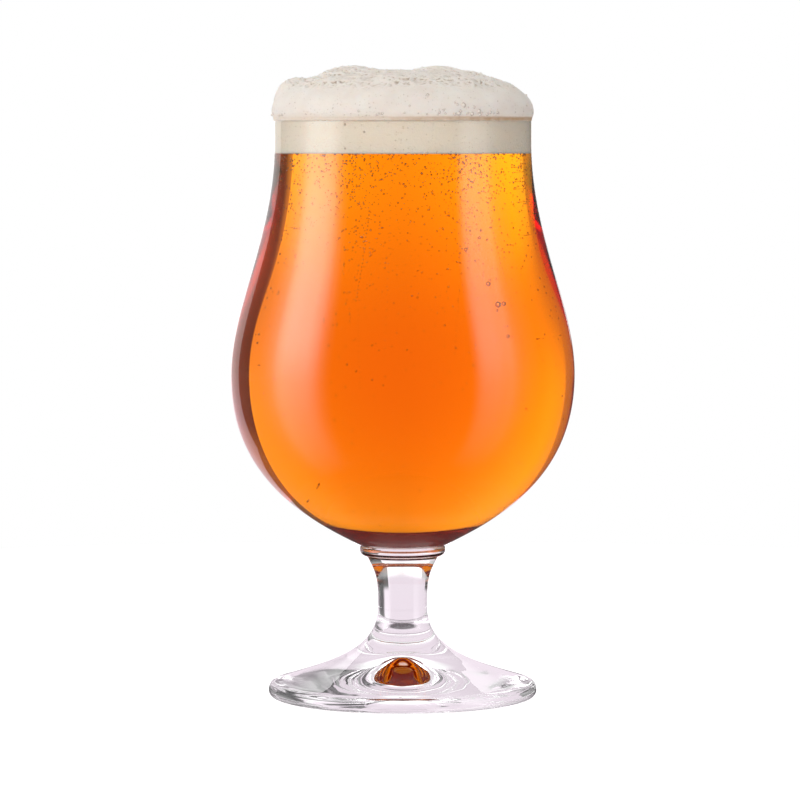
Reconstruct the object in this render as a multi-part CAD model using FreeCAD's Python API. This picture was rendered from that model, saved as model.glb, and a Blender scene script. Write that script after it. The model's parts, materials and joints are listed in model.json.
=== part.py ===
import FreeCAD, Part
import math
import os

# A stemmed tulip beer glass, filled with beer and topped by a head of foam.
# The glass is one piece, blown and drawn: a round foot, a short solid stem
# with a collar, and a bowl that swells to a belly and closes to a straight lip.
# Beer and foam are separate bodies that fill the bowl exactly.
# Millimetres and degrees. +Z is up, the table is at z = 0, the axis is x = y = 0.

# Foot
foot_radius = 36.0
foot_widest_height = 1.9
foot_edge_height = 4.4
foot_shoulder_inset = 1.5
foot_slope = 16.6
standing_ring_inset = 3.4
standing_ring_width = 2.6
kick_height = 6.5
kick_tip_radius = 2.4
kick_tip_drop = 0.35
kick_tip_slope = 19.3
kick_ring_slope = 8.0

# Stem and collar, each height measured from the form below it
foot_rise = 20.2
stem_radius = 6.6
stem_rise = 13.5
neck_radius = 9.6
neck_slope = 63.0
collar_radius = 11.5
collar_height = 2.8
collar_belly_share = 0.6
notch_depth = 0.4

# Bowl
bowl_base_slope = 26.8
lower_bowl_height = 46.1
belly_radius = 46.1
upper_bowl_height = 62.3
lip_radius = 34.5
lip_height = 5.9
wall_thickness = 2.0
lip_thickness = 1.8
base_thickness = 2.7

# Beer and foam
head_depth = 9.0
foam_overhang = 0.5
foam_bulge_height = 1.8
crown_height = 12.7

# Low mounds on the foam: how far along the crown from its rim to its middle,
# bearing round the axis from +X, radius of the mound and how far it stands proud
foam_mounds = [
    (0.765, 190.0, 20.5, 1.6),
    (0.850, 352.0, 19.0, 1.4),
    (0.700, 345.0, 11.0, 0.9),
    (0.390, 188.0, 6.2, 1.8),
    (0.560, 262.0, 10.5, 1.0),
    (0.480, 306.0, 8.5, 0.9),
    (0.450, 226.0, 7.6, 0.8),
    (0.450, 38.0, 7.8, 1.0),
    (0.620, 92.0, 13.0, 1.3),
    (0.420, 138.0, 7.0, 1.0),
    (0.400, 80.0, 6.8, 0.9),
]

# How long each bend holds the direction it starts and ends with,
# as a share of the straight distance between its two ends
round_corner = 0.40
kick_tip_pull = 0.20
kick_middle_pull = 0.31
kick_ring_pull = 0.59
foot_toe_pull = 0.53
foot_stem_pull = 0.32
stem_waist_pull = 0.58
stem_neck_pull = 0.37
bowl_base_pull = 0.25
lower_belly_pull = 0.50
upper_belly_pull = 0.29
lip_pull = 0.40
inner_belly_pull = 0.35
inner_floor_pull = 0.44
crown_side_pull = 0.18
crown_top_pull = 0.70

UP = 90.0
DOWN = -90.0
OUT = 0.0
IN = 180.0
FULL_TURN = 360.0
TABLE_CENTRE = FreeCAD.Vector(0, 0, 0)
AXIS = FreeCAD.Vector(0, 0, 1)

# Heights above the table
waist_height = foot_edge_height + foot_rise
neck_height = waist_height + stem_rise
notch_height = neck_height + collar_height
belly_height = notch_height + lower_bowl_height
throat_height = belly_height + upper_bowl_height
rim_height = throat_height + lip_height
floor_height = notch_height + base_thickness
beer_level = rim_height - head_depth

# Points of the outline, each a radius and a height
ring_outer = (foot_radius - standing_ring_inset, 0.0)
ring_inner = (foot_radius - standing_ring_inset - standing_ring_width, 0.0)
kick_top = (0.0, kick_height)
kick_tip = (kick_tip_radius, kick_height - kick_tip_drop)
foot_widest = (foot_radius, foot_widest_height)
foot_shoulder = (foot_radius - foot_shoulder_inset, foot_edge_height)
waist = (stem_radius, waist_height)
neck = (neck_radius, neck_height)
collar = (collar_radius, neck_height + collar_belly_share * collar_height)
notch = (collar_radius - notch_depth, notch_height)
belly = (belly_radius, belly_height)
throat = (lip_radius, throat_height)
lip_outer = (lip_radius, rim_height - lip_thickness / 2)
rim_top = (lip_radius - lip_thickness / 2, rim_height)
lip_inner = (lip_radius - lip_thickness, rim_height - lip_thickness / 2)
throat_inner = (lip_radius - lip_thickness, throat_height)
belly_inner = (belly_radius - wall_thickness, belly_height)
bowl_floor = (0.0, floor_height)
bulge = (lip_radius + foam_overhang, rim_height + foam_bulge_height)
crown_top = (0.0, rim_height + crown_height)


def at(point):
    """Vector of a radius and a height, in the plane that the outline is drawn in."""
    radius, height = point
    return FreeCAD.Vector(radius, 0, height)


def heading(angle):
    """Unit vector of a direction of travel: 0 is outwards, 90 is up."""
    turn = math.radians(angle)
    return FreeCAD.Vector(math.cos(turn), 0, math.sin(turn))


def line(start, end):
    return Part.LineSegment(at(start), at(end)).toShape()


def arc(start, middle, end):
    return Part.Arc(at(start), at(middle), at(end)).toShape()


def bend(start, start_angle, start_pull, end, end_angle, end_pull):
    """Smooth edge that leaves one point and reaches the next in given directions."""
    chord = at(start).distanceToPoint(at(end))
    leave = at(start) + heading(start_angle) * (start_pull * chord)
    reach = at(end) - heading(end_angle) * (end_pull * chord)
    curve = Part.BezierCurve()
    curve.setPoles([at(start), leave, reach, at(end)])
    return curve.toShape()


def rim_corner(side):
    """Middle of the rounded rim's outer (1) or inner (-1) quarter."""
    reach = lip_thickness / 2
    middle_radius, top = rim_top
    return (
        middle_radius + side * reach * math.cos(math.pi / 4),
        top - reach + reach * math.sin(math.pi / 4),
    )


def revolve(edges):
    """Solid of revolution of a closed outline round the axis."""
    face = Part.Face(Part.Wire(Part.sortEdges(edges)[0]))
    return face.revolve(TABLE_CENTRE, AXIS, FULL_TURN)


def inner_wall():
    """Inside of the bowl, from the top of the rim down to the middle of its floor."""
    return [
        arc(rim_top, rim_corner(-1), lip_inner),
        line(lip_inner, throat_inner),
        bend(throat_inner, DOWN, lip_pull, belly_inner, DOWN, upper_belly_pull),
        bend(belly_inner, DOWN, inner_belly_pull, bowl_floor, IN, inner_floor_pull),
    ]


def foot_outline():
    """Conical hollow underneath, standing ring, rounded edge and the rise to the stem."""
    return [
        bend(kick_top, OUT, kick_tip_pull, kick_tip, -kick_tip_slope, kick_tip_pull),
        bend(kick_tip, -kick_tip_slope, kick_middle_pull, ring_inner, -kick_ring_slope, kick_ring_pull),
        line(ring_inner, ring_outer),
        bend(ring_outer, OUT, round_corner, foot_widest, UP, round_corner),
        bend(foot_widest, UP, round_corner, foot_shoulder, IN - foot_slope, round_corner),
        bend(foot_shoulder, IN - foot_slope, foot_toe_pull, waist, UP, foot_stem_pull),
    ]


def stem_outline():
    """Stem that flares to the neck, and the collar under the bowl."""
    return [
        bend(waist, UP, stem_waist_pull, neck, neck_slope, stem_neck_pull),
        bend(neck, OUT, round_corner, collar, UP, round_corner),
        bend(collar, UP, round_corner, notch, IN - bowl_base_slope, round_corner),
    ]


def bowl_outline():
    """Outside of the bowl up to the top of the rim."""
    return [
        bend(notch, bowl_base_slope, bowl_base_pull, belly, UP, lower_belly_pull),
        bend(belly, UP, upper_belly_pull, throat, UP, lip_pull),
        line(throat, lip_outer),
        arc(lip_outer, rim_corner(1), rim_top),
    ]


def make_glass():
    axis = [line(bowl_floor, kick_top)]
    return revolve(foot_outline() + stem_outline() + bowl_outline() + inner_wall() + axis)


def make_bowl_space():
    """Everything that the bowl holds up to the top of its rim."""
    middle = (0.0, rim_height)
    return revolve(inner_wall() + [line(bowl_floor, middle), line(middle, rim_top)])


def below(height):
    """Block that reaches from under the table up to a height."""
    reach = 2 * (belly_radius + foot_radius)
    corner = FreeCAD.Vector(-reach / 2, -reach / 2, height - reach - rim_height)
    return Part.makeBox(reach, reach, reach + rim_height, corner)


def make_beer(bowl_space):
    return bowl_space.common(below(beer_level)).Solids[0]


def crown_edge():
    return bend(bulge, UP, crown_side_pull, crown_top, IN, crown_top_pull)


def make_mound(share, bearing, radius, proud):
    """Ball sunk into the crown so that only its cap stands proud."""
    edge = crown_edge()
    place = edge.FirstParameter + share * (edge.LastParameter - edge.FirstParameter)
    along = edge.tangentAt(place)
    outward = FreeCAD.Vector(along.z, 0, -along.x)
    centre = edge.valueAt(place) - outward * (radius - proud)
    ball = Part.makeSphere(radius, centre)
    ball.rotate(TABLE_CENTRE, AXIS, bearing)
    return ball


def make_foam(bowl_space):
    """Foam between the beer and the rim, with a crown that swells over the rim."""
    middle = (0.0, rim_height)
    crown = revolve([
        line(middle, rim_top),
        bend(rim_top, OUT, round_corner, bulge, UP, round_corner),
        crown_edge(),
        line(crown_top, middle),
    ])
    mounds = [make_mound(*mound) for mound in foam_mounds]
    in_bowl = bowl_space.cut(below(beer_level))
    above_rim = crown.multiFuse(mounds).cut(below(rim_height))
    return in_bowl.fuse(above_rim).removeSplitter().Solids[0]


def save(name, shape):
    """Write one sub-part and print what it measures."""
    shape.exportStep("parts/" + name + ".step")
    box = shape.BoundBox
    print(
        name, "valid", shape.isValid(), "solids", len(shape.Solids), "faces", len(shape.Faces),
        "ml", round(shape.Volume / 1000, 1),
        "z", round(box.ZMin, 2), round(box.ZMax, 2), "width", round(box.XLength, 2),
    )


os.makedirs("parts", exist_ok=True)
bowl_space = make_bowl_space()
save("glass", make_glass())
save("beer", make_beer(bowl_space))
save("foam_head", make_foam(bowl_space))
print("brimful ml", round(bowl_space.Volume / 1000, 1))
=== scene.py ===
# %% [markdown]
# # A full tulip beer glass
#
# The object is a stemmed glass, blown and drawn in one piece, that holds amber
# beer under a domed head of foam. Three materials meet here, and each one asks
# for its own trick: clear glass shows nothing but what it bends, beer is glass
# that swallows blue light, and foam is a white mass of tiny bubbles.
#
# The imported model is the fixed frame. Everything below is built round it, in
# metres, with +Z up and the foot's centre at the origin.

# %% Load the frame
import json
import math
import random

import bmesh
import bpy
import numpy as np
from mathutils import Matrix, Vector, noise

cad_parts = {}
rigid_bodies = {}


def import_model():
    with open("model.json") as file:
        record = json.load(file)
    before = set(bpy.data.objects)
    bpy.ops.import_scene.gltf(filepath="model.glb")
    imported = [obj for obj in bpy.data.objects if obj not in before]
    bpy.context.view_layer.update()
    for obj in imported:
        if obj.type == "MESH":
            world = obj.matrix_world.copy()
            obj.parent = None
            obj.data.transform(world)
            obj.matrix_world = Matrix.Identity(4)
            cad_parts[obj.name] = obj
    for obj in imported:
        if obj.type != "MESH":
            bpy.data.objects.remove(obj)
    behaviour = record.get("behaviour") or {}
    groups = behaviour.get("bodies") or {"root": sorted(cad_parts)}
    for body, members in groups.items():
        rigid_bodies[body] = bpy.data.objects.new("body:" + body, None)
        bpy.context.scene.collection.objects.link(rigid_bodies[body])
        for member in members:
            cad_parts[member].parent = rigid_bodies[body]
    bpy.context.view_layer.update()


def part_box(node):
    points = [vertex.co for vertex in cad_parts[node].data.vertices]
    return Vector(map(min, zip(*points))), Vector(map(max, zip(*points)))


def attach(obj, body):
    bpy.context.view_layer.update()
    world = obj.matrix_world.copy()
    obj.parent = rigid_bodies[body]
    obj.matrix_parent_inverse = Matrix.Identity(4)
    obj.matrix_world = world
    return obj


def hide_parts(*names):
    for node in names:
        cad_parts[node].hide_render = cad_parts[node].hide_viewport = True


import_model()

# %% [markdown]
# ## Drawing a turned form
#
# A glass is a body of revolution, so its whole shape is one line: half of its
# section. A glassmaker's templates are smooth bends that leave one point and
# reach the next in known directions. A cubic Bezier curve is exactly that, so
# `bend` takes two points, two headings and how long each heading is held.
# Points are (radius, height) in millimetres, because that is how a glass is
# drawn; they become metres when the mesh is made.

# %% Bends and arcs
MM = 0.001
UP, DOWN, OUT, IN = 90.0, -90.0, 0.0, 180.0


def heading(angle):
    """Unit step in a direction of travel: 0 is outwards, 90 is up."""
    turn = math.radians(angle)
    return np.array([math.cos(turn), math.sin(turn)])


def bend(start, start_angle, start_pull, end, end_angle, end_pull, steps=24):
    """Points of a smooth curve from one point to the next, ends included."""
    start, end = np.array(start, float), np.array(end, float)
    chord = np.linalg.norm(end - start)
    leave = start + heading(start_angle) * start_pull * chord
    reach = end - heading(end_angle) * end_pull * chord
    t = np.linspace(0, 1, steps + 1)[:, None]
    return (1 - t) ** 3 * start + 3 * t * (1 - t) ** 2 * leave + 3 * t ** 2 * (1 - t) * reach + t ** 3 * end


def run(start, end, steps=8):
    """Points of a straight line from one point to the next, ends included."""
    t = np.linspace(0, 1, steps + 1)[:, None]
    return np.array(start, float) * (1 - t) + np.array(end, float) * t


def round_top(middle, radius, first_angle, last_angle, steps=10):
    """Points on a circle round middle, from one angle to another."""
    turns = np.radians(np.linspace(first_angle, last_angle, steps + 1))
    return np.array(middle) + radius * np.column_stack([np.cos(turns), np.sin(turns)])


def chain(*stretches):
    """Joins stretches of an outline and drops the points that they share."""
    points = np.vstack(stretches)
    keep = np.r_[True, np.linalg.norm(np.diff(points, axis=0), axis=1) > 1e-6]
    return points[keep]


print("a quarter bend has", len(bend((0, 0), OUT, 0.5, (1, 1), UP, 0.5)), "points")


# %% [markdown]
# ## The glass's measures
#
# The sizes that matter most are read from the frame: the heights of the rim, of
# the bowl's floor and of the beer, and the radius of the belly. The rest are the
# small sizes of foot, stem, collar and lip, which a box can't tell.

# %% Measures from the frame, and the small ones
glass_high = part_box("glass")[1]
beer_low, beer_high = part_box("beer")
rim_height = glass_high.z / MM
floor_height = beer_low.z / MM
beer_level = beer_high.z / MM
belly_radius = glass_high.x / MM

lip_radius, lip_thickness, lip_height = 34.5, 1.8, 5.9
wall_thickness = 2.0
upper_bowl_height = 62.3
foot_radius, foot_widest_height, foot_edge_height = 36.0, 1.9, 4.4
foot_shoulder_inset, foot_slope = 1.5, 16.6
standing_ring_inset, standing_ring_width = 3.4, 2.6
kick_height, kick_slope, ring_slope = 6.5, 19.3, 8.0
kick_tip_radius, kick_tip_drop = 2.4, 0.35
waist_height, stem_radius = 24.6, 6.6
neck_height, neck_radius, neck_slope = 38.1, 9.6, 63.0
collar_radius, collar_height, notch_depth, bowl_base_slope = 11.5, 2.8, 0.4, 26.8

throat_height = rim_height - lip_height
belly_height = throat_height - upper_bowl_height
notch_height = neck_height + collar_height
lip_middle = (lip_radius - lip_thickness / 2, rim_height - lip_thickness / 2)
print("rim", round(rim_height, 1), "beer", round(beer_level, 1), "floor", round(floor_height, 1))

# %% Outline of the glass
# How long each bend holds its first and last heading, as a share of its length
CORNER = 0.40
KICK_TIP_PULL, KICK_MIDDLE_PULL, KICK_RING_PULL = 0.20, 0.31, 0.59
FOOT_TOE_PULL, FOOT_STEM_PULL = 0.53, 0.32
STEM_WAIST_PULL, STEM_NECK_PULL = 0.58, 0.37
BOWL_BASE_PULL, LOWER_BELLY_PULL = 0.25, 0.50
UPPER_BELLY_PULL, LIP_PULL = 0.29, 0.40
INNER_BELLY_PULL, INNER_FLOOR_PULL = 0.35, 0.44
COLLAR_WIDEST = 0.6


def inner_wall():
    """From the inside of the lip down to the middle of the bowl's floor."""
    throat = (lip_radius - lip_thickness, throat_height)
    belly = (belly_radius - wall_thickness, belly_height)
    return chain(
        run((throat[0], lip_middle[1]), throat, steps=4),
        bend(throat, DOWN, LIP_PULL, belly, DOWN, UPPER_BELLY_PULL, steps=48),
        bend(belly, DOWN, INNER_BELLY_PULL, (0, floor_height), IN, INNER_FLOOR_PULL, steps=56),
    )


def foot_outline():
    """Hollow underneath, standing ring, rounded edge and the rise to the stem."""
    ring_out = (foot_radius - standing_ring_inset, 0)
    ring_in = (ring_out[0] - standing_ring_width, 0)
    kick_shoulder = (kick_tip_radius, kick_height - kick_tip_drop)
    widest = (foot_radius, foot_widest_height)
    toe = (foot_radius - foot_shoulder_inset, foot_edge_height)
    waist = (stem_radius, waist_height)
    return chain(
        bend((0, kick_height), OUT, KICK_TIP_PULL, kick_shoulder, -kick_slope, KICK_TIP_PULL, steps=8),
        bend(kick_shoulder, -kick_slope, KICK_MIDDLE_PULL, ring_in, -ring_slope, KICK_RING_PULL, steps=36),
        run(ring_in, ring_out, steps=3),
        bend(ring_out, OUT, CORNER, widest, UP, CORNER, steps=10),
        bend(widest, UP, CORNER, toe, IN - foot_slope, CORNER, steps=10),
        bend(toe, IN - foot_slope, FOOT_TOE_PULL, waist, UP, FOOT_STEM_PULL, steps=56),
    )


def glass_outline():
    """Foot, stem, collar, bowl, rim and the inner wall, as one line."""
    waist = (stem_radius, waist_height)
    neck = (neck_radius, neck_height)
    collar = (collar_radius, neck_height + COLLAR_WIDEST * collar_height)
    notch = (collar_radius - notch_depth, notch_height)
    belly = (belly_radius, belly_height)
    throat = (lip_radius, throat_height)
    return chain(
        foot_outline(),
        bend(waist, UP, STEM_WAIST_PULL, neck, neck_slope, STEM_NECK_PULL, steps=24),
        bend(neck, OUT, CORNER, collar, UP, CORNER, steps=8),
        bend(collar, UP, CORNER, notch, IN - bowl_base_slope, CORNER, steps=6),
        bend(notch, bowl_base_slope, BOWL_BASE_PULL, belly, UP, LOWER_BELLY_PULL, steps=60),
        bend(belly, UP, UPPER_BELLY_PULL, throat, UP, LIP_PULL, steps=48),
        run(throat, (lip_radius, lip_middle[1]), steps=4),
        round_top(lip_middle, lip_thickness / 2, 0, 180),
        inner_wall(),
    )


WALL_UP = inner_wall()[::-1]


def wall_radius(height):
    """Inside radius of the bowl at a height, in millimetres."""
    return np.interp(height, WALL_UP[:, 1], WALL_UP[:, 0])


print("glass outline:", len(glass_outline()), "points")

# %% [markdown]
# ## Turning a line into a mesh
#
# Blender's Screw modifier could spin the line, but plain arrays are quicker and
# keep the poles clean: each outline point becomes a ring of vertices, and a
# point on the axis becomes one vertex. Clear things show every facet in what
# they bend, so the rings are dense and shaded smooth.

# %% Lathe


def mesh_piece(name, points, faces):
    """A smooth-shaded object from points in metres, with its faces turned outwards."""
    mesh = bpy.data.meshes.new(name)
    mesh.from_pydata(points, [], faces)
    shell = bmesh.new()
    shell.from_mesh(mesh)
    bmesh.ops.recalc_face_normals(shell, faces=shell.faces)
    shell.to_mesh(mesh)
    shell.free()
    mesh.shade_smooth()
    piece = bpy.data.objects.new(name, mesh)
    bpy.context.scene.collection.objects.link(piece)
    return piece


def lathe(name, outline, segments, shape=None):
    """Spins an outline in millimetres; shape may then move the points."""
    turns = np.linspace(0, 2 * math.pi, segments, endpoint=False)
    points, rings = [], []
    for radius, height in outline:
        first = len(points)
        if radius < 1e-6:
            points.append((0.0, 0.0, height))
            rings.append([first] * segments)
        else:
            points.extend((radius * math.cos(a), radius * math.sin(a), height) for a in turns)
            rings.append(list(range(first, first + segments)))
    faces = []
    for low, high in zip(rings, rings[1:]):
        for i in range(segments):
            j = (i + 1) % segments
            corners = [low[i], low[j], high[j], high[i]]
            faces.append(list(dict.fromkeys(corners)))
    points = np.array(points)
    if shape is not None:
        points = shape(points)
    return mesh_piece(name, (points * MM).tolist(), faces)


print("lathe ready: each point of an outline becomes a ring, or a pole on the axis")


# %% [markdown]
# ## Shader sums that read like sums
#
# A procedural finish is arithmetic on patterns. Wired by hand that is a wall of
# Math nodes, so `Link` wraps a socket and lets Python's own + - * / build them.
# Every other node comes from `Nodes.add`: its type, its settings, and what goes
# into its sockets. Colours go through Mix nodes, since Math turns them grey.

# %% Link and Nodes


class Link:
    """A number on its way through a material."""

    def __init__(self, nodes, socket):
        self.nodes = nodes
        self.socket = socket

    def sum(self, operation, first, second=0.0):
        return self.nodes.add("Math", {"operation": operation}, {0: first, 1: second})

    def __add__(self, other):
        return self.sum("ADD", self, other)

    def __radd__(self, other):
        return self.sum("ADD", other, self)

    def __sub__(self, other):
        return self.sum("SUBTRACT", self, other)

    def __rsub__(self, other):
        return self.sum("SUBTRACT", other, self)

    def __mul__(self, other):
        return self.sum("MULTIPLY", self, other)

    def __rmul__(self, other):
        return self.sum("MULTIPLY", other, self)

    def __truediv__(self, other):
        return self.sum("DIVIDE", self, other)

    def __gt__(self, other):
        return self.sum("GREATER_THAN", self, other)

    def __lt__(self, other):
        return self.sum("LESS_THAN", self, other)

    def biggest(self, other):
        return self.sum("MAXIMUM", self, other)


class Nodes:
    """The node tree of a material or world, built one call at a time."""

    def __init__(self, owner):
        owner.use_nodes = True
        self.tree = owner.node_tree
        self.tree.nodes.clear()

    def add(self, kind, settings=None, inputs=None, out=0):
        node = self.tree.nodes.new("ShaderNode" + kind)
        for name, value in (settings or {}).items():
            if name == "stops":
                self.set_stops(node.color_ramp, value)
            else:
                setattr(node, name, value)
        for name, value in (inputs or {}).items():
            if isinstance(value, Link):
                self.tree.links.new(value.socket, node.inputs[name])
            else:
                node.inputs[name].default_value = value
        if isinstance(out, tuple):
            return [Link(self, node.outputs[name]) for name in out]
        return Link(self, node.outputs[out]) if node.outputs else node

    @staticmethod
    def set_stops(ramp, stops):
        while len(ramp.elements) < len(stops):
            ramp.elements.new(0.5)
        for element, (place, colour) in zip(ramp.elements, stops):
            element.position = place
            element.color = colour

    def mix(self, factor, first, second):
        """First colour where the factor is 0, second where it is 1."""
        return self.add("Mix", {"data_type": "RGBA"}, {0: factor, 6: first, 7: second}, out=2)

    def place(self):
        """Where on the object a point is, in metres."""
        return self.add("TexCoord", out="Object")

    def cloud(self, scale, detail=2.0):
        """Soft random pattern between 0 and 1, so many swells to the metre."""
        return self.add("TexNoise", {}, {"Vector": self.place(), "Scale": scale, "Detail": detail})

    def eased(self, value, start, end):
        """0 where the value is at start and 1 where it is at end, soft at both."""
        return self.add("MapRange", {"interpolation_type": "SMOOTHSTEP"}, {0: value, 1: start, 2: end})

    def between(self, value, start, end, low=0.0, high=1.0):
        """A straight climb from low at start to high at end."""
        return self.add("MapRange", {}, {0: value, 1: start, 2: end, 3: low, 4: high})


def rgb(red, green, blue):
    """A colour as a screen shows it, 0 to 255, in the linear light that shaders use."""
    shares = (red / 255, green / 255, blue / 255)
    return tuple(v / 12.92 if v <= 0.04045 else ((v + 0.055) / 1.055) ** 2.4 for v in shares) + (1.0,)


print("a screen's middle grey is", round(rgb(128, 128, 128)[0], 3), "of white in linear light")


# %% [markdown]
# ## Clear glass
#
# Glass has no colour of its own to paint. What makes it read as glass is its
# bend, index 1.5, on a form thick enough to bend something, and the slow waves
# that drawing leaves in foot and stem. So the material is plain and the waves
# are real: the points of foot and stem move up and down by hundredths of a
# millimetre.
#
# Inside the bowl the wall is wet, so there is no air behind it to mirror the
# room a second time. The wall gets the same glass with a black Specular Tint,
# which takes that second mirror image away.
#
# Light from lamps can't find its way through a bending surface without heavy
# noise. The usual answer is used here: for shadow rays only, the glass is a
# Transparent shader, so the foam behind it is lit.

# %% Glass material
GLASS_INDEX = 1.5
GLASS_TINT = (1.0, 0.995, 1.0, 1.0)
SMEAR_SCALE, SMEAR_ROUGHNESS = 60.0, 0.004
BLACK, WHITE = (0.0, 0.0, 0.0, 1.0), (1.0, 1.0, 1.0, 1.0)


def glass_material(name, mirror):
    """Clear glass. The mirror colour scales what it reflects head-on, and black stands for wet."""
    material = bpy.data.materials.new(name)
    nodes = Nodes(material)
    glass = nodes.add("BsdfPrincipled", {}, {
        "Base Color": GLASS_TINT,
        "Roughness": nodes.cloud(SMEAR_SCALE) * SMEAR_ROUGHNESS,
        "IOR": GLASS_INDEX,
        "Transmission Weight": 1.0,
        "Specular Tint": mirror,
    })
    clear = nodes.add("BsdfTransparent", {}, {"Color": WHITE})
    shadow = nodes.add("LightPath", out="Is Shadow Ray")
    either = nodes.add("MixShader", {}, {0: shadow, 1: glass, 2: clear})
    nodes.add("OutputMaterial", {}, {"Surface": either})
    return material


clear_glass = glass_material("drawn_clear_glass", WHITE)
wet_glass = glass_material("wet_glass_wall", BLACK)
print("materials:", clear_glass.name, wet_glass.name)

# %% Glass piece
GLASS_SEGMENTS = 224
WAVE_HEIGHT, LONG_WAVE, SHORT_WAVE = 0.05, 9.0, 4.0
WAVE_NECK_FADE, WAVE_AXIS_FADE = 8, 6
WET_MARGIN = 0.5


def drawn_waves(points):
    """Slow unevenness of drawn glass, on the foot and stem and nothing above them."""
    for point in points:
        radius = math.hypot(point[0], point[1])
        below_neck = min(1.0, max(0.0, (neck_height - point[2]) / WAVE_NECK_FADE))
        fade = below_neck * min(1.0, radius / WAVE_AXIS_FADE)
        on_top = 1.0 if point[2] > foot_edge_height else 0.0
        drift = noise.noise(Vector(point) / LONG_WAVE) + 0.5 * noise.noise(Vector(point) / SHORT_WAVE)
        point[2] += on_top * fade * WAVE_HEIGHT * drift
    return points


glass = lathe("glass_body", glass_outline(), GLASS_SEGMENTS, drawn_waves)
glass.data.materials.append(clear_glass)
glass.data.materials.append(wet_glass)
for face in glass.data.polygons:
    middle = face.center / MM
    reach = math.hypot(middle.x, middle.y)
    if middle.z > floor_height - WET_MARGIN and reach < wall_radius(middle.z) + WET_MARGIN:
        face.material_index = 1
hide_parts("glass")
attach(glass, "root")
print("glass_body:", len(glass.data.polygons), "faces")

# %% [markdown]
# ## Beer
#
# Beer is water with a colour that comes from distance: a thin layer is straw,
# the belly is orange. So the colour is a Volume Absorption inside the mesh, not
# paint on its surface.
#
# Where beer wets glass there is no air between them. If the two meshes only
# touched, a thin gap would mirror light and ring the beer with silver. The
# mesh therefore soaks a little into the wall, and the renderer finds no gap.

# %% Beer material
BEER_INDEX = 1.34
RED_LOSS, GREEN_LOSS, BLUE_LOSS = 1.0, 22.0, 105.0
HAZE_SCALE, HAZE_ROUGHNESS = 40.0, 0.003


def beer_material():
    """Absorption per metre in each colour, set on the volume shader's own sockets."""
    material = bpy.data.materials.new("amber_beer")
    nodes = Nodes(material)
    beer = nodes.add("BsdfPrincipled", {}, {
        "Base Color": WHITE,
        "Roughness": nodes.cloud(HAZE_SCALE) * HAZE_ROUGHNESS,
        "IOR": BEER_INDEX,
        "Transmission Weight": 1.0,
        "Specular Tint": BLACK,
    })
    colour = (1 - RED_LOSS / BLUE_LOSS, 1 - GREEN_LOSS / BLUE_LOSS, 0.0, 1.0)
    volume = nodes.add("VolumeAbsorption", {}, {"Color": colour, "Density": BLUE_LOSS})
    nodes.add("OutputMaterial", {}, {"Surface": beer, "Volume": volume})
    return material


amber_beer = beer_material()
belly_share = math.exp(-GREEN_LOSS * 2 * belly_radius * MM)
print("green light that crosses the belly:", round(belly_share, 2))

# %% Beer piece
SOAK = 0.8
BEER_SEGMENTS = 224
UNDER_FOAM = 0.3


def soaked_wall(soak, top):
    """The wet wall from a height down to the floor, moved into the glass by soak."""
    wall = inner_wall()
    wall = wall[wall[:, 1] < top]
    wall = np.vstack([[wall_radius(top), top], wall])
    along = np.gradient(wall, axis=0)
    along /= np.linalg.norm(along, axis=1)[:, None]
    away = np.column_stack([-along[:, 1], along[:, 0]])
    wet = wall + away * soak
    wet[-1, 0] = 0.0
    wet[0, 1] = top
    return wet


beer_top = beer_level + UNDER_FOAM
wet_wall = soaked_wall(SOAK, beer_top)
beer_outline = chain(run((0, beer_top), (wet_wall[0][0], beer_top), steps=12), wet_wall)
beer = lathe("beer_body", beer_outline, BEER_SEGMENTS)
beer.data.materials.append(amber_beer)
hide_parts("beer")
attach(beer, "root")
print("beer_body:", len(beer.data.polygons), "faces")

# %% [markdown]
# ## Foam
#
# A head of foam is a stiff, uneven cap. Three sizes of form make it: low mounds
# as wide as a coin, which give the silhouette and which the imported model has
# too; thin-walled hollows a few millimetres wide where bubbles have burst, on
# the top only; and the pores. The first two move the mesh, the last is bump.

# %% Foam outline
FOAM_SEGMENTS = 440
FOAM_SOAK, FOAM_DIP = 0.9, 0.2
RIM_COVERED, RIM_INSET = 0.5, 0.04
FOAM_OVERHANG, BULGE_RISE, CROWN_RISE = 0.5, 1.8, 12.7
CROWN_SIDE_PULL, CROWN_TOP_PULL = 0.18, 0.70
WALL_STEPS = 18
bulge = (lip_radius + FOAM_OVERHANG, rim_height + BULGE_RISE)


def crown_line(steps):
    """From the widest part of the foam to the middle of its top, without the mounds."""
    top = (0, rim_height + CROWN_RISE)
    return bend(bulge, UP, CROWN_SIDE_PULL, top, IN, CROWN_TOP_PULL, steps)


def foam_outline():
    """Flat on the beer, up the wet wall, out through the rim's round edge and over the crown."""
    low, high = beer_level - FOAM_DIP, rim_height - RIM_COVERED
    heights = np.linspace(low, high, WALL_STEPS)
    wall = np.column_stack([wall_radius(heights) + FOAM_SOAK, heights])
    rim_edge = (lip_radius - RIM_INSET, high)
    over_rim = bend(rim_edge, UP, CORNER, bulge, UP, CORNER, steps=12)
    on_beer = run((0, low), wall[0], steps=12)
    return chain(on_beer, wall, run(wall[-1], rim_edge, steps=2), over_rim, crown_line(steps=150))


print("foam outline:", len(foam_outline()), "points")

# %% [markdown]
# Each mound is a ball sunk into the crown until only its cap stands proud. To
# lift a point onto it, look along the crown's own outward direction and see how
# far away the line leaves the ball. The largest of these lifts wins, eased a
# little so that no crease shows between two mounds. The list is the packed
# model's: how far along the crown from its edge to its middle, bearing, radius
# of the ball, and how far it stands proud.

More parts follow.
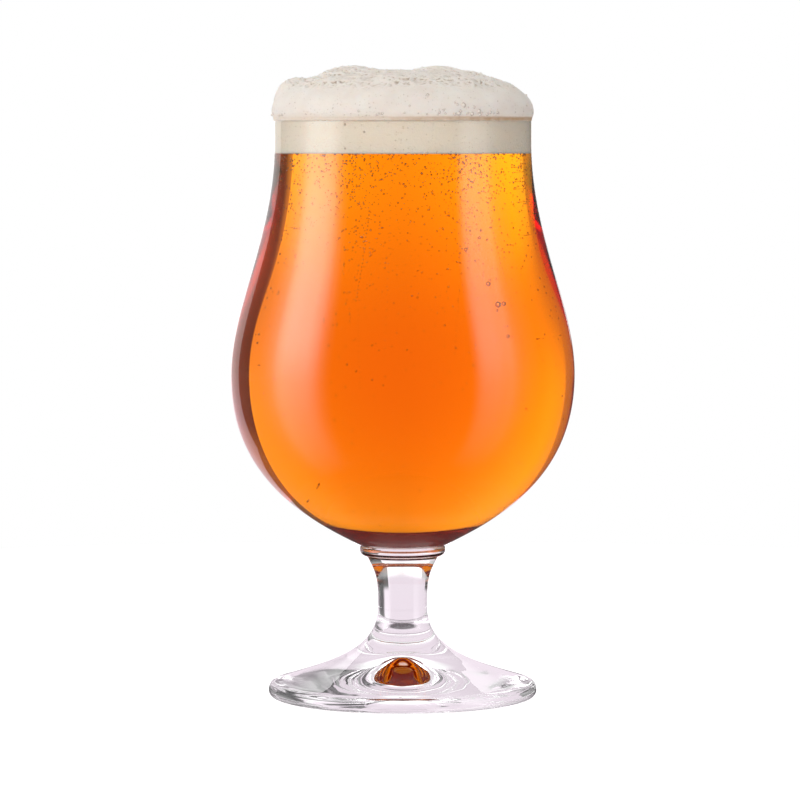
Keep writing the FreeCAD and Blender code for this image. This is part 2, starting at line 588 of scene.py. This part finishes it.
# %% Mounds
MOUNDS = [
    (0.765, 190.0, 20.5, 1.6),
    (0.850, 352.0, 19.0, 1.4),
    (0.700, 345.0, 11.0, 0.9),
    (0.390, 188.0, 6.2, 1.8),
    (0.560, 262.0, 10.5, 1.0),
    (0.480, 306.0, 8.5, 0.9),
    (0.450, 226.0, 7.6, 0.8),
    (0.450, 38.0, 7.8, 1.0),
    (0.620, 92.0, 13.0, 1.3),
    (0.420, 138.0, 7.0, 1.0),
    (0.400, 80.0, 6.8, 0.9),
]
MOUND_EASE = 0.15
CROWN_STEPS = 400
CROWN = crown_line(CROWN_STEPS)
CROWN_ALONG = np.gradient(CROWN, axis=0)
CROWN_OUT = np.column_stack([CROWN_ALONG[:, 1], -CROWN_ALONG[:, 0]])
CROWN_OUT /= np.linalg.norm(CROWN_OUT, axis=1)[:, None]


def outward(points):
    """Unit directions out of the crown at points on it, in space."""
    radius = np.hypot(points[:, 0], points[:, 1])
    sideways = np.interp(radius, CROWN[::-1, 0], CROWN_OUT[::-1, 0])
    upwards = np.interp(radius, CROWN[::-1, 0], CROWN_OUT[::-1, 1])
    round_axis = points[:, :2] / np.maximum(radius, 1e-6)[:, None]
    return np.column_stack([round_axis * sideways[:, None], upwards])


def mound_lift(points, out):
    """How far each point must move outwards to lie on the mounds, in millimetres."""
    total = np.ones(len(points))
    for share, bearing, radius, proud in MOUNDS:
        step = int(share * CROWN_STEPS)
        reach, height = CROWN[step] - CROWN_OUT[step] * (radius - proud)
        turn = math.radians(bearing)
        away = points - (reach * math.cos(turn), reach * math.sin(turn), height)
        along = (away * out).sum(1)
        inside = along ** 2 - (away ** 2).sum(1) + radius ** 2
        lift = np.where(inside > 0, np.sqrt(np.maximum(inside, 0)) - along, -radius)
        total += np.exp(lift / MOUND_EASE)
    return MOUND_EASE * np.log(total)


print("mounds:", len(MOUNDS), "highest", max(mound[3] for mound in MOUNDS), "mm")

# %% [markdown]
# Where bubbles have burst on top, they leave hollows with thin walls between
# them. A Voronoi pattern has such walls: they stand where the nearest and the
# second nearest centre are equally far away. Two sizes are laid over each other,
# bent by noise so that no cell is regular.

# %% Foam shape
BURST_SIZES = [(3.6, 0.62), (1.8, 0.28)]
WALL_SHARE, WALL_SHARPNESS, BURST_SINK = 0.32, 1.5, 0.25
BURST_SEED, BURST_BEND, BURST_BEND_LENGTH, BURST_PATCH_LENGTH = 5, 0.7, 2.6, 6.0
TOP_FROM, TOP_TO = 7.0, 9.2
DRIFT_HEIGHT, DRIFT_LENGTH, DRIFT_FADE = 0.25, 8.0, 3.0

# noise_vector starts from a seed, which is the clock unless it is set
noise.seed_set(BURST_SEED)


def top_share(height):
    """0 on the side of the foam and 1 on its top."""
    share = np.clip((height - rim_height - TOP_FROM) / (TOP_TO - TOP_FROM), 0, 1)
    return share * share * (3 - 2 * share)


def burst(here):
    """Hollows with thin walls between them, as a height in millimetres."""
    bent = here + BURST_BEND * noise.noise_vector(here / BURST_BEND_LENGTH)
    height = 0.0
    for size, deep in BURST_SIZES:
        near, next_near = noise.voronoi(bent / size)[0][:2]
        wall = max(0.0, 1 - (next_near - near) / WALL_SHARE)
        height += deep * (wall ** WALL_SHARPNESS - BURST_SINK)
    return height * (0.8 + 0.6 * noise.noise(here / BURST_PATCH_LENGTH))


def foam_shape(points):
    """Mounds, slow drift and burst bubbles, as movements of the crown's points."""
    on_crown = points[:, 2] > bulge[1] + 0.01
    crown = points[on_crown]
    out = outward(crown)
    crown += out * mound_lift(crown, out)[:, None]
    drift = np.array([noise.noise(Vector(p) / DRIFT_LENGTH) for p in crown])
    rough = np.array([burst(Vector(p)) for p in crown])
    fade = np.clip((crown[:, 2] - bulge[1]) / DRIFT_FADE, 0, 1)
    crown += out * (DRIFT_HEIGHT * fade * drift + top_share(crown[:, 2]) * rough)[:, None]
    points[on_crown] = crown
    return points


print("burst bubbles: up to", BURST_SIZES[0][0], "mm wide and", BURST_SIZES[0][1], "mm deep")

# %% [markdown]
# Foam looks white because light goes in, scatters and comes out a little
# warmer: subsurface. Pores are picked cell by cell from a Voronoi pattern by
# its own random colour, so they come in clusters and not in rows, and painted
# shade darkens them. Under the rim, where the foam is seen through glass, it is
# painted lighter and warmer, as painted glow from the beer. A tan line marks
# the rim: dried beer, and painted shade in the groove under the foam, stronger
# to the right, away from the key light. Pointiness, which tells hollow from
# raised, puts painted shade in the burst bubbles on top.

# %% Foam material
CREAM_DARK, CREAM_LIGHT = rgb(235, 223, 211), rgb(252, 245, 237)
# Painted light: foam under the rim, lighter and warmer for the beer's glow
BEER_GLOW_DARK, BEER_GLOW_LIGHT = rgb(249, 233, 213), rgb(253, 241, 226)
# The rim line is dried beer with painted shade; the hollow and pore colours are painted shade
RIM_STAIN_AND_SHADE, HOLLOW_SHADE, PORE_SHADE = rgb(196, 160, 122), rgb(192, 172, 153), rgb(176, 148, 122)
PATCH_SCALE, SPARSE_SCALE, GRAIN_SCALE, WANDER_SCALE = 150.0, 260.0, 1500.0, 420.0
FINE_PORES, SMALL_PORES, LARGE_PORES = (1700.0, 0.42, 0.34), (1050.0, 0.34, 0.14), (600.0, 0.30, 0.07)
TOP_START, TOP_END = 0.1620, 0.1650
LEFT_END, RIGHT_END = -0.022, 0.032
GROOVE_OUTER, GROOVE_INNER, GROOVE_WANDER = 0.0008, 0.0002, 0.0006
RAISED, HOLLOW = 0.497, 0.455
SCATTER = (0.0016, 0.0012, 0.0009)


def pores(nodes, kind):
    """Round pores in a share of the cells of a Voronoi pattern, 1 in the middle of each."""
    scale, size, share = kind
    cells = nodes.add("TexVoronoi", {}, {"Vector": nodes.place(), "Scale": scale}, out=("Distance", "Color"))
    chance, other = nodes.add("SeparateColor", {}, {0: cells[1]}, out=("Red", "Green"))
    return nodes.eased(cells[0] / (0.4 + other * 0.6), size, size * 0.3) * (chance < share)


def rim_stain_and_shade(nodes, across, above_rim):
    """The tan line at the rim: dried beer and painted shade in the groove under the foam, uneven and
    stronger to the right, away from the key light.
    """
    wander = nodes.cloud(WANDER_SCALE, 3.0)
    off_rim = nodes.add("Math", {"operation": "ABSOLUTE"}, {0: above_rim + (wander - 0.5) * GROOVE_WANDER})
    right = nodes.eased(across, LEFT_END, RIGHT_END) * 0.8 + 0.2
    return nodes.eased(off_rim, GROOVE_OUTER, GROOVE_INNER) * right * (0.35 + wander)


def foam_material():
    material = bpy.data.materials.new("cream_foam")
    nodes = Nodes(material)
    across, height = nodes.add("SeparateXYZ", {}, {0: nodes.place()}, out=("X", "Z"))
    above_rim = height - rim_height * MM
    patch = nodes.cloud(PATCH_SCALE, 3.0)
    sparse = nodes.cloud(SPARSE_SCALE)
    top = nodes.eased(height, TOP_START, TOP_END)
    near_rim = nodes.eased(above_rim, 0.007, 0.001)
    under_rim = nodes.eased(above_rim, 0.002, -0.001)
    fine = pores(nodes, FINE_PORES) * (sparse > 0.38) * 0.60
    small = pores(nodes, SMALL_PORES) * (sparse > 0.50) * 0.6
    holes = fine.biggest(small).biggest(pores(nodes, LARGE_PORES) * near_rim)

    cream = nodes.mix(patch, CREAM_DARK, CREAM_LIGHT)
    # Painted light: lighter, warmer foam under the rim, standing in for the beer's glow
    colour = nodes.mix(under_rim, cream, nodes.mix(patch, BEER_GLOW_DARK, BEER_GLOW_LIGHT))
    # Dried beer and painted shade along the groove at the rim
    colour = nodes.mix(rim_stain_and_shade(nodes, across, above_rim), colour, RIM_STAIN_AND_SHADE)
    curved = nodes.add("NewGeometry", out="Pointiness")
    # Painted shade in the hollows of the burst bubbles on top
    colour = nodes.mix(top * nodes.eased(curved, RAISED, HOLLOW), colour, HOLLOW_SHADE)
    # Painted shade in the pores
    colour = nodes.mix(holes * 0.6, colour, PORE_SHADE)

    relief = nodes.cloud(GRAIN_SCALE, 3.0) * 0.5 - holes * 0.8
    bump = nodes.add("Bump", {}, {"Strength": 0.8, "Distance": 0.0004, "Height": relief}, out="Normal")
    foam = nodes.add("BsdfPrincipled", {}, {
        "Base Color": colour,
        "Roughness": 0.45 + patch * 0.25,
        "Subsurface Weight": 0.5,
        "Subsurface Radius": SCATTER,
        "Subsurface Scale": 1.0,
        "Normal": bump,
    })
    nodes.add("OutputMaterial", {}, {"Surface": foam})
    return material


cream_foam = foam_material()
print("cream_foam:", len(cream_foam.node_tree.nodes), "nodes")

# %% Foam piece
foam = lathe("foam_crown", foam_outline(), FOAM_SEGMENTS, foam_shape)
foam.data.materials.append(cream_foam)
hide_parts("foam_head")
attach(foam, "root")
print("foam_crown:", len(foam.data.polygons), "faces")

# %% [markdown]
# ## Bubbles in the beer
#
# Fresh beer shows fine bubbles that cling to the wall, thick near the top and
# few below, and chains that rise from a scratch in the glass, evenly spaced. A
# few have grown large. All are small balls of air. To light that is already in
# beer, a ball of air has an index below one, and a dark ring with a bright
# middle is what an index of 1 / 1.34 gives. At two pixels wide that ring is hard
# to see, so painted shade darkens the colour towards the edge too.

# %% Bubble balls
AIR_IN_BEER = 1 / BEER_INDEX


def ball_template(divisions):
    """Points and triangles of one unit ball."""
    ball = bmesh.new()
    bmesh.ops.create_icosphere(ball, subdivisions=divisions, radius=1.0)
    points = np.array([v.co for v in ball.verts])
    faces = np.array([[v.index for v in f.verts] for f in ball.faces])
    ball.free()
    return points, faces


def balls_piece(name, balls, divisions):
    """One mesh of many balls, each (x, y, z, radius) in millimetres."""
    points, faces = ball_template(divisions)
    every_point = [np.array(b[:3]) + points * b[3] for b in balls]
    every_face = [faces + i * len(points) for i in range(len(balls))]
    return mesh_piece(name, (np.vstack(every_point) * MM).tolist(), np.vstack(every_face).tolist())


print("index of air seen from beer:", round(AIR_IN_BEER, 3))


# %% Where the bubbles are
BUBBLE_SEED = 7
WALL_BUBBLES, LINE_BUBBLES = 3600, 320
USUAL_DEPTH, MOST_DEPTH = 17.0, 92.0
CROWD_BEARING, CROWD_SPACING = -112.0, 50.0
CROWD_LEAST, CROWD_MORE, CROWD_SHARPNESS = 0.35, 0.65, 4
FAR_FROM, FAR_SIZE = -0.3, 0.45

# Bearing from +X, lowest and highest, gap, radius, and drift of the bearing on the way up
CHAINS = [
    (-107.0, 108, 132, 0.95, 0.22, 3.0),
    (-104.0, 86, 107, 1.3, 0.12, -2.0),
    (-65.0, 90, 136, 1.1, 0.17, 3.0),
    (-48.0, 112, 141, 1.3, 0.18, -4.0),
    (-96.0, 96, 143, 1.9, 0.14, 1.0),
    (80.0, 88, 134, 1.1, 0.2, -4.0),
    (140.0, 84, 138, 1.3, 0.22, 4.0),
]
# Bearing, height and radius
LARGE_BUBBLES = [
    (-56.0, 112.0, 0.75), (-53.0, 106.6, 0.95), (-50.5, 106.8, 0.7), (-54.2, 105.2, 0.45),
    (-51.0, 98.5, 0.6), (-64.0, 121.0, 0.55), (-57.0, 124.0, 0.45), (-60.5, 118.0, 0.4),
    (30.0, 118.0, 0.7), (36.0, 112.0, 0.5), (120.0, 121.0, 0.6), (170.0, 114.0, 0.8),
]


def on_wall(bearing, height, radius):
    """A ball that touches the wet wall from inside, smaller at the sides and the back."""
    turn = math.radians(bearing)
    if math.sin(turn) > FAR_FROM:
        radius *= FAR_SIZE
    reach = wall_radius(height) - radius * 0.9
    return (reach * math.cos(turn), reach * math.sin(turn), height, radius)


def clustered(chance):
    """A bearing, more often one of those where the bubbles crowd together."""
    while True:
        bearing = chance.uniform(-180, 180)
        wave = math.cos(math.radians((bearing - CROWD_BEARING) * 180 / CROWD_SPACING))
        if chance.random() < CROWD_LEAST + CROWD_MORE * wave ** CROWD_SHARPNESS:
            return bearing


def beer_bubbles():
    """Large bubbles, chains, bubbles on the wall, and those that gather under the foam."""
    chance = random.Random(BUBBLE_SEED)
    balls = [on_wall(*large) for large in LARGE_BUBBLES]
    for bearing, low, high, gap, radius, drift in CHAINS:
        count = int((high - low) / gap)
        for i in range(count):
            share = i / count
            height = low + share * (high - low)
            balls.append(on_wall(bearing + drift * share + chance.gauss(0, 0.12), height, radius))
    for _ in range(WALL_BUBBLES):
        depth = min(chance.expovariate(1 / USUAL_DEPTH), MOST_DEPTH)
        height = beer_level - 0.8 - depth
        radius = 0.16 + 0.16 * chance.random() ** 2
        balls.append(on_wall(clustered(chance), height, radius))
    for _ in range(LINE_BUBBLES):
        height = beer_level - 0.1 - abs(chance.gauss(0, 0.35))
        balls.append(on_wall(clustered(chance), height, 0.15 + 0.25 * chance.random() ** 2))
    return balls


bubble_balls = beer_bubbles()
print("bubbles in the beer:", len(bubble_balls))

# %% Bubble piece
# Painted shade for the edge of each bubble
BUBBLE_RIM_SHADE = (0.05, 0.02, 0.01, 1.0)
SHEEN_SCALE, SHEEN_ROUGHNESS = 300.0, 0.01


def bubble_material():
    material = bpy.data.materials.new("air_bubble")
    nodes = Nodes(material)
    edge = nodes.add("LayerWeight", {}, {"Blend": 0.35}, out="Facing")
    bubble = nodes.add("BsdfPrincipled", {}, {
        # Painted shade towards each bubble's edge
        "Base Color": nodes.mix(edge, WHITE, BUBBLE_RIM_SHADE),
        "Roughness": nodes.cloud(SHEEN_SCALE) * SHEEN_ROUGHNESS,
        "IOR": AIR_IN_BEER,
        "Transmission Weight": 1.0,
    })
    nodes.add("OutputMaterial", {}, {"Surface": bubble})
    return material


bubbles = balls_piece("beer_bubbles", bubble_balls, divisions=1)
bubbles.data.materials.append(bubble_material())
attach(bubbles, "root")
print("beer_bubbles:", len(bubbles.data.polygons), "faces")

# %% [markdown]
# The foam has a few bubbles large enough to see one by one: thin clear domes
# just over the rim. What is seen of a dome is its edge, where the eye looks
# along the film. Here the domes are opaque, and painted shade darkens their
# colour from the middle to the edge.

# %% Bubbles on the foam
DOME_SEED, DOME_COUNT, DOME_SINK = 3, 90, 0.35
DOME_LOWEST, DOME_USUAL_RISE, DOME_MOST_RISE = 0.8, 1.6, 5.5
# The edge colour is painted shade
DOME_MIDDLE, DOME_EDGE_SHADE = rgb(246, 236, 226), rgb(150, 118, 88)
FILM_SCALE = 900.0

# Bearing, height above the rim and radius
FRONT_DOMES = [
    (-74.3, 1.6, 0.42), (-72.5, 2.1, 0.36), (-65.3, 1.3, 0.55), (-64.4, 1.9, 0.36), (-63.0, 3.4, 0.72),
    (-65.9, 3.6, 0.34), (-57.9, 2.9, 0.40), (-59.0, 1.2, 0.55), (-61.0, 1.4, 0.36), (-55.4, 1.9, 0.60),
    (-54.8, 1.0, 0.40), (-51.0, 1.1, 0.40), (-49.2, 1.6, 0.42), (-45.1, 1.6, 0.45), (-67.3, 1.1, 0.36),
    (-78.8, 6.0, 0.45), (-109.0, 1.9, 0.36), (-98.7, 1.3, 0.38), (-101.0, 0.9, 0.30), (-87.0, 3.2, 0.30),
]


def on_foam(bearing, above_rim, radius):
    """A ball more than half sunk in the side of the foam, at a height above the rim."""
    height = rim_height + above_rim
    reach = np.interp(height, CROWN[:, 1], CROWN[:, 0]) - DOME_SINK * radius
    turn = math.radians(bearing)
    return (reach * math.cos(turn), reach * math.sin(turn), height, radius)


def dome_material():
    material = bpy.data.materials.new("foam_bubble")
    nodes = Nodes(material)
    edge = nodes.add("LayerWeight", {}, {"Blend": 0.45}, out="Facing")
    dome = nodes.add("BsdfPrincipled", {}, {
        # Painted shade towards the edge of each dome
        "Base Color": nodes.mix(edge, DOME_MIDDLE, DOME_EDGE_SHADE),
        "Roughness": 0.15 + nodes.cloud(FILM_SCALE) * 0.15,
    })
    nodes.add("OutputMaterial", {}, {"Surface": dome})
    return material


def foam_domes():
    """The domes of the front, and small ones all round."""
    chance = random.Random(DOME_SEED)
    balls = [on_foam(*dome) for dome in FRONT_DOMES]
    for _ in range(DOME_COUNT):
        above_rim = DOME_LOWEST + min(chance.expovariate(1 / DOME_USUAL_RISE), DOME_MOST_RISE)
        balls.append(on_foam(chance.uniform(-180, 180), above_rim, 0.14 + 0.16 * chance.random() ** 2))
    return balls


domes = balls_piece("foam_bubbles", foam_domes(), divisions=2)
domes.data.materials.append(dome_material())
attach(domes, "root")
print("foam_bubbles:", len(domes.data.polygons), "faces")

# %% [markdown]
# ## The floor
#
# Glass has no looks without a studio: all it shows is the room, bent. The set is
# the usual one for a bright drink: a pale table, a white card close behind the
# glass, two tall softboxes, and softer lamps for the foam.
#
# White for the eye must not be light on the object. Light Path tells a material
# which ray asks. Here only camera rays get the floor's glow. Mirrored and bent
# rays don't meet the floor at all: the world below gives them their table.

# %% Floor
FLOOR_RADIUS, FLOOR_DROP = 0.42, 0.0001
FLOOR_GLOW, FLOOR_GLOSS, FLOOR_BLUR = 0.75, 0.06, 0.10
FLOOR_PALE = rgb(238, 232, 237)


def glowing(nodes, colour, strength=1.0):
    """Light of a colour, whatever shines on the surface."""
    return nodes.add("Emission", {}, {"Color": colour, "Strength": strength})


def floor_material():
    """White to the camera, with a faint gloss."""
    material = bpy.data.materials.new("white_floor")
    nodes = Nodes(material)
    seen = nodes.add("LightPath", out="Is Camera Ray")
    plain = nodes.add("BsdfDiffuse", {}, {"Color": FLOOR_PALE})
    lit = nodes.add("AddShader", {}, {0: plain, 1: glowing(nodes, WHITE, seen * FLOOR_GLOW)})
    gloss = nodes.add("BsdfGlossy", {}, {"Color": WHITE, "Roughness": FLOOR_BLUR})
    polished = nodes.add("MixShader", {}, {0: FLOOR_GLOSS, 1: lit, 2: gloss})
    nodes.add("OutputMaterial", {}, {"Surface": polished})
    return material


bpy.ops.mesh.primitive_circle_add(vertices=96, radius=FLOOR_RADIUS, fill_type="NGON")
floor = bpy.context.object
floor.name = "floor"
floor.location.z = -FLOOR_DROP
floor.data.materials.append(floor_material())
floor.visible_glossy = floor.visible_transmission = False
print("floor:", FLOOR_RADIUS, "m in radius")

# %% [markdown]
# ## The card behind the glass
#
# The beer is lit from behind by a small white card. Its middle is dimmer than
# its sides, which keeps the middle of the beer deep orange and makes the sides
# yellow. Its far left end is dim again, because the glass mirrors that end along
# its own left edge. Towards the table the card turns lilac. Beyond its right
# edge the room is dark. A full glass turns its background round, so that dark
# shows as a band along the left of the beer. The card is a plane that glows, and
# only mirrored and bent rays see it.

# %% Card behind the glass
CARD_DISTANCE, CARD_LEFT, CARD_RIGHT, CARD_TOP = 0.130, -0.155, 0.0535, 0.26
TABLE_WHITE = (0.89, 0.79, 0.87, 1.0)
LILAC_BELOW, WHITE_ABOVE = 0.05, 0.09
CARD_RISE_FROM, CARD_RISE_TO, CARD_RISE = 0.09, 0.17, 1.25
CARD_BRIGHTEST = 2.0

# Place across in metres, and light
CARD_LIGHTS = [
    (-0.150, 0.75), (-0.088, 0.75), (-0.078, 1.60), (-0.045, 1.75), (-0.025, 1.55), (-0.010, 1.25),
    (0.0, 1.08), (0.010, 1.12), (0.022, 1.30), (0.053, 1.40),
]


def grey(value):
    """A neutral colour, black at 0 and white at 1."""
    return (value, value, value, 1.0)


def card_material():
    material = bpy.data.materials.new("white_card")
    nodes = Nodes(material)
    material.cycles.emission_sampling = "NONE"
    across, height = nodes.add("SeparateXYZ", {}, {0: nodes.place()}, out=("X", "Z"))
    share = nodes.eased(height, LILAC_BELOW, WHITE_ABOVE)
    reach = CARD_RIGHT - CARD_LEFT
    stops = [((x - CARD_LEFT) / reach, grey(light / CARD_BRIGHTEST)) for x, light in CARD_LIGHTS]
    ramp = nodes.add("ValToRGB", {"stops": stops}, {0: (across - CARD_LEFT) / reach})
    rise = nodes.between(height, CARD_RISE_FROM, CARD_RISE_TO, 1.0, CARD_RISE)
    light = nodes.add("RGBToBW", {}, {0: ramp}) * CARD_BRIGHTEST * rise
    colour = nodes.mix(share, TABLE_WHITE, WHITE)
    nodes.add("OutputMaterial", {}, {"Surface": glowing(nodes, colour, (1 - share) + share * light)})
    return material


card_corners = [(CARD_LEFT, 0.0), (CARD_RIGHT, 0.0), (CARD_RIGHT, CARD_TOP), (CARD_LEFT, CARD_TOP)]
card = mesh_piece("back_card", [(x, CARD_DISTANCE, z) for x, z in card_corners], [(0, 1, 2, 3)])
card.data.materials.append(card_material())
card.visible_camera = card.visible_diffuse = card.visible_shadow = False
print("card:", round(CARD_RIGHT - CARD_LEFT, 3), "m wide,", CARD_DISTANCE, "m behind the axis")

# %% [markdown]
# ## The flag under the bowl
#
# The lower half of the bowl mirrors what lies below it: the pale foot, as an
# ellipse that would float on the beer. A photographer holds a black flag in the
# way. Here it is a ring round the stem that only mirrored rays see, so it
# neither shades the glass nor shows in it.

# %% Flag under the bowl
FLAG_HEIGHT, FLAG_INNER, FLAG_OUTER = 41.5, 12.2, 44.0
FLAG_GREY, FLAG_SEGMENTS = 0.10, 64


def flag_material():
    material = bpy.data.materials.new("black_flag")
    nodes = Nodes(material)
    nodes.add("OutputMaterial", {}, {"Surface": glowing(nodes, grey(FLAG_GREY))})
    return material


flag = lathe("black_flag", [(FLAG_INNER, FLAG_HEIGHT), (FLAG_OUTER, FLAG_HEIGHT)], FLAG_SEGMENTS)
flag.data.materials.append(flag_material())
flag.visible_camera = flag.visible_diffuse = flag.visible_shadow = flag.visible_transmission = False
print("flag:", FLAG_OUTER, "mm in radius")

# %% [markdown]
# ## The room
#
# The world stands in for the room. Camera rays get plain white. A mirrored ray
# sees a dark room with two tall softboxes, which draw the milky strips down the
# bowl, and a white patch straight behind. A ray that went through glass sees a
# pale front, a dark back, the lilac table, and the softboxes only where they
# stand high. Everything else gets a quiet even light.
#
# A direction is told by its bearing in degrees (0 at the camera, 90 on its
# right, 180 behind the glass) and by its height, -1 straight down to 1 straight
# up. Each table of bearings or heights becomes the stops of one Color Ramp.

# %% World
AMBIENT = 0.38
ROOM_DARK, ROOM_FRONT, ROOM_ABOVE = 0.08, 0.9, 0.4
SOFTBOX_LIGHT = 5.5
SOFTBOX_BEARINGS = [
    (-128, 0.02), (-112, 0.07), (-105, 0.15), (-98, 0.32), (-92, 0.74), (-87, 0.95), (-80, 1.0),
    (-68, 0.93), (-62, 0.62), (-57, 0.24), (-52, 0.05), (-48, 0.0),
    (47, 0.0), (50, 0.10), (54, 0.38), (58, 0.50), (66, 0.50), (73, 0.38), (78, 0.36), (83, 0.16),
    (88, 0.07), (95, 0.03), (105, 0.0),
]
SOFTBOX_HEIGHTS = [
    (-0.85, 0.0), (-0.62, 0.18), (-0.33, 0.35), (-0.07, 0.56), (0.09, 0.78), (0.21, 0.93), (0.3, 1.0),
    (0.75, 1.0), (0.85, 0.0),
]
FRONT_BEARINGS = [(-98, 0.0), (-85, 1.0), (85, 1.0), (98, 0.0)]
TABLE_BEARINGS = [(-180, 1.0), (90, 1.0), (97, 0.0), (140, 0.0), (146, 1.0)]
BENT_BOXES_FROM, BENT_BOXES_TO = 0.08, 0.22
OVERHEAD_FROM, OVERHEAD_TO = 0.15, 0.35
TABLE_EDGE, TABLE_ROUND = (0.03, -0.05), (-0.42, -0.62)
UNDER_FOOT, UNDER_FOOT_FROM, UNDER_FOOT_TO = 0.2, -0.92, -0.84
PATCH_AHEAD, PATCH_LOW, PATCH_HIGH = 0.97, -0.02, 0.2


class Direction:
    """Where a ray that leaves the scene is going, as links."""

    def __init__(self, nodes):
        self.nodes = nodes
        along = nodes.add("TexCoord", out="Generated")
        self.across, self.ahead, self.height = nodes.add("SeparateXYZ", {}, {0: along}, out=("X", "Y", "Z"))
        angle = nodes.add("Math", {"operation": "ARCTAN2"}, {0: self.across, 1: 0 - self.ahead})
        self.turn = angle / (2 * math.pi) + 0.5

    def by_bearing(self, table):
        stops = [((bearing + 180) / 360, grey(value)) for bearing, value in table]
        return self.nodes.add("ValToRGB", {"stops": stops}, {0: self.turn})

    def by_height(self, table):
        stops = [((height + 1) / 2, grey(value)) for height, value in table]
        return self.nodes.add("ValToRGB", {"stops": stops}, {0: self.height * 0.5 + 0.5})


def softboxes(nodes, going, bent):
    """Two tall boxes of light. A bent ray sees them only where they stand high."""
    boxes = nodes.add("VectorMath", {"operation": "MULTIPLY"}, {
        0: going.by_bearing(SOFTBOX_BEARINGS), 1: going.by_height(SOFTBOX_HEIGHTS)})
    light = SOFTBOX_LIGHT * (1 - bent * nodes.eased(going.height, BENT_BOXES_TO, BENT_BOXES_FROM))
    return nodes.add("VectorMath", {"operation": "SCALE"}, {0: boxes, "Scale": light})


def mirror_room(nodes, going):
    """Dark, with a white patch straight behind the glass."""
    patch = (going.ahead > PATCH_AHEAD) * (going.height > PATCH_LOW) * (going.height < PATCH_HIGH)
    return nodes.mix(patch, grey(ROOM_DARK), WHITE)


def bent_room(nodes, going):
    """Pale in front, dark at the back, paler overhead, and a lilac table below."""
    overhead = nodes.between(going.height, OVERHEAD_FROM, OVERHEAD_TO)
    back = nodes.mix(overhead, grey(ROOM_DARK), grey(ROOM_ABOVE))
    walls = nodes.mix(going.by_bearing(FRONT_BEARINGS), back, grey(ROOM_FRONT))
    below = nodes.eased(going.height, *TABLE_EDGE)
    table = (below * going.by_bearing(TABLE_BEARINGS)).biggest(nodes.eased(going.height, *TABLE_ROUND))
    shade = nodes.between(going.height, UNDER_FOOT_FROM, UNDER_FOOT_TO, UNDER_FOOT, 1.0)
    table_light = nodes.add("VectorMath", {"operation": "SCALE"}, {0: TABLE_WHITE[:3], "Scale": shade})
    return nodes.mix(table, walls, table_light)


def studio_world():
    world = bpy.data.worlds.new("studio")
    nodes = Nodes(world)
    going = Direction(nodes)
    paths = ("Is Camera Ray", "Is Glossy Ray", "Is Transmission Ray", "Diffuse Depth")
    camera, mirrored, bent, bounces = nodes.add("LightPath", out=paths)
    room = nodes.mix(bent, mirror_room(nodes, going), bent_room(nodes, going))
    studio = nodes.add("VectorMath", {"operation": "ADD"}, {0: room, 1: softboxes(nodes, going, bent)})
    by_glass = mirrored.biggest(bent) * (bounces < 0.5)
    lit = nodes.mix(by_glass, grey(AMBIENT), studio)
    back = nodes.add("Background", {}, {"Color": nodes.mix(camera, lit, WHITE), "Strength": 1.0})
    nodes.add("OutputWorld", {}, {"Surface": back})
    return world


bpy.context.scene.world = studio_world()
print("world:", len(bpy.context.scene.world.node_tree.nodes), "nodes")

# %% [markdown]
# ## Lamps for the foam
#
# Foam is a plain matt body and needs plain soft lamps: a key from the front
# left, a weaker fill on each side, and one high at the back for the top. No
# glass shows them, because they are hidden from mirrored and bent rays. Energy
# grows with a lamp's area, so each is set by its radiance instead.

# %% Lamps
LAMP_TARGET = Vector((0, 0, 0.14))

# Name, bearing, elevation, distance, size and radiance
LAMPS = [
    ("front_key", -38, 14, 1.10, 0.50, 7.3),
    ("right_fill", 42, 10, 1.10, 0.60, 3.3),
    ("left_fill", -100, 12, 1.10, 0.60, 2.6),
    ("top_light", 160, 70, 1.00, 0.70, 2.2),
]


def lamp(name, bearing, elevation, distance, size, radiance):
    """A soft round lamp. Bearing 0 is at the camera, 90 on its right."""
    light = bpy.data.lights.new(name, "AREA")
    light.shape = "DISK"
    light.size = size
    light.energy = radiance * math.pi * math.pi * size * size / 4
    stand = bpy.data.objects.new(name, light)
    bpy.context.scene.collection.objects.link(stand)
    turn, lift = math.radians(bearing), math.radians(elevation)
    out = Vector((math.sin(turn) * math.cos(lift), -math.cos(turn) * math.cos(lift), math.sin(lift)))
    stand.location = LAMP_TARGET + out * distance
    stand.rotation_euler = (-out).to_track_quat("-Z", "Y").to_euler()
    stand.visible_camera = stand.visible_transmission = stand.visible_glossy = False


for settings in LAMPS:
    lamp(*settings)
print("lamps:", [settings[0] for settings in LAMPS])

# %% [markdown]
# ## Camera
#
# The foot's ellipse tells how high the camera stands: a few degrees above the
# middle of the glass. A long lens from a metre away keeps rim and foot as flat
# as the photograph has them.

# %% Camera
CAMERA_DISTANCE, CAMERA_HEIGHT = 1.085, 0.1497
AIM_HEIGHT, SIDE_STEP = 0.080, -0.0007
SENSOR_WIDTH, LENS = 36.0, 182.4

camera = bpy.data.objects.new("camera", bpy.data.cameras.new("camera"))
bpy.context.scene.collection.objects.link(camera)
camera.location = (SIDE_STEP, -CAMERA_DISTANCE, CAMERA_HEIGHT)
look = Vector((SIDE_STEP, 0, AIM_HEIGHT)) - camera.location
camera.rotation_euler = look.to_track_quat("-Z", "Y").to_euler()
camera.data.sensor_width = SENSOR_WIDTH
camera.data.lens = LENS
bpy.context.scene.camera = camera
bpy.context.scene.view_settings.view_transform = "Standard"
print("camera looks down by", round(math.degrees(math.asin(-look.z / look.length)), 1), "degrees")

# %% [markdown]
# ## Long light paths
#
# Light that enters the foot is thrown about inside it many times before it finds
# a way out. Cut short, it would leave black patches, so the paths are let run.

# %% Long light paths
MOST_BOUNCES = 32
light_paths = bpy.context.scene.cycles
light_paths.max_bounces = MOST_BOUNCES
light_paths.glossy_bounces = MOST_BOUNCES
light_paths.transmission_bounces = MOST_BOUNCES
print("bounces:", MOST_BOUNCES)
